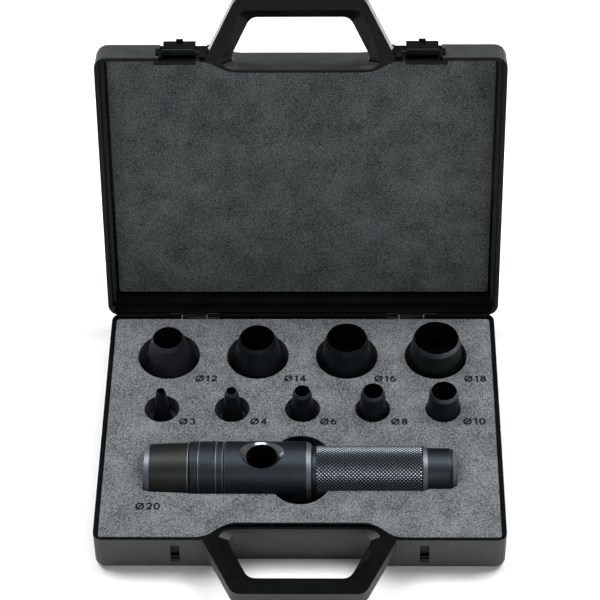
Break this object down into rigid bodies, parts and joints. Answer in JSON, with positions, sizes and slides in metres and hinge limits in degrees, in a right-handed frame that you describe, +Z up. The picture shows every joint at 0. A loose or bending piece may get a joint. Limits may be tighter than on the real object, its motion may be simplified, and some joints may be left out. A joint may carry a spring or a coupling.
{
  "type": "drive hole punch set",
  "caption": "Drive hole punch with interchangeable cutting heads in a foam-lined, hinged plastic case with a folding-latch lid and a split carrying handle.",
  "frame": {"origin": "centre of the case base's underside, at mid width and mid depth of its tray", "axes": "+X to the right along the punch, +Y from the handle to the hinge, +Z up out of the tray"},
  "size_m": [0.162, 0.1885, 0.1553],
  "materials": {
    "case_plastic": "black satin moulding plastic, faint grain",
    "foam": "grey cut foam, fine speckle",
    "lid_foam": "grey foam, fine speckle",
    "blackened_steel": "turned steel, chemically blackened",
    "punch_steel": "turned and knurled steel, chemically blackened",
    "pin_steel": "bright drawn steel wire"
  },
  "bodies": {
    "case_base": {"base_shell": "case_plastic", "base_foam_insert": "foam", "base_foam_pad": "foam", "hinge_pin_left": "pin_steel", "hinge_pin_right": "pin_steel"},
    "case_lid": {"lid_shell": "case_plastic", "lid_foam_pad": "lid_foam"},
    "latch_l": {"latch_left": "case_plastic"},
    "latch_r": {"latch_right": "case_plastic"},
    "punch": {"punch_handle": "punch_steel"},
    "collar": {"head_collar": "blackened_steel"},
    "mounted_head": {"head_20mm": "blackened_steel"},
    "spare_03": {"head_03mm": "blackened_steel"},
    "spare_04": {"head_04mm": "blackened_steel"},
    "spare_06": {"head_06mm": "blackened_steel"},
    "spare_08": {"head_08mm": "blackened_steel"},
    "spare_10": {"head_10mm": "blackened_steel"},
    "spare_12": {"head_12mm": "blackened_steel"},
    "spare_14": {"head_14mm": "blackened_steel"},
    "spare_16": {"head_16mm": "blackened_steel"},
    "spare_18": {"head_18mm": "blackened_steel"}
  },
  "joints": [
    {"name": "lid_hinge", "type": "hinge", "parent": "case_base", "child": "case_lid", "pos_m": [0, 0.0591, 0.0163], "axis": [-1, 0, 0], "range_deg": [-104.2, 0]},
    {"name": "latch_left_flap", "type": "hinge", "parent": "case_lid", "child": "latch_l", "pos_m": [-0.0478, 0.09356, 0.13048], "axis": [-1, 0, 0], "range_deg": [-180, 0]},
    {"name": "latch_right_flap", "type": "hinge", "parent": "case_lid", "child": "latch_r", "pos_m": [0.0478, 0.09356, 0.13048], "axis": [-1, 0, 0], "range_deg": [-180, 0]},
    {"name": "punch_lift", "type": "slide", "parent": "case_base", "child": "punch", "axis": [0, 0, 1], "range_m": [0, 0.06]},
    {"name": "collar_screw", "type": "hinge", "parent": "punch", "child": "collar", "pos_m": [-0.036, -0.0238, 0.0157], "axis": [-1, 0, 0], "range_deg": [0, 1440]},
    {"name": "head_screw", "type": "hinge", "parent": "collar", "child": "mounted_head", "pos_m": [-0.05, -0.0238, 0.0157], "axis": [-1, 0, 0], "range_deg": [0, 1080]},
    {"name": "head_03_lift", "type": "slide", "parent": "case_base", "child": "spare_03", "axis": [0, 0, 1], "range_m": [0, 0.04]},
    {"name": "head_04_lift", "type": "slide", "parent": "case_base", "child": "spare_04", "axis": [0, 0, 1], "range_m": [0, 0.04]},
    {"name": "head_06_lift", "type": "slide", "parent": "case_base", "child": "spare_06", "axis": [0, 0, 1], "range_m": [0, 0.04]},
    {"name": "head_08_lift", "type": "slide", "parent": "case_base", "child": "spare_08", "axis": [0, 0, 1], "range_m": [0, 0.04]},
    {"name": "head_10_lift", "type": "slide", "parent": "case_base", "child": "spare_10", "axis": [0, 0, 1], "range_m": [0, 0.04]},
    {"name": "head_12_lift", "type": "slide", "parent": "case_base", "child": "spare_12", "axis": [0, 0, 1], "range_m": [0, 0.04]},
    {"name": "head_14_lift", "type": "slide", "parent": "case_base", "child": "spare_14", "axis": [0, 0, 1], "range_m": [0, 0.04]},
    {"name": "head_16_lift", "type": "slide", "parent": "case_base", "child": "spare_16", "axis": [0, 0, 1], "range_m": [0, 0.04]},
    {"name": "head_18_lift", "type": "slide", "parent": "case_base", "child": "spare_18", "axis": [0, 0, 1], "range_m": [0, 0.04]}
  ]
}
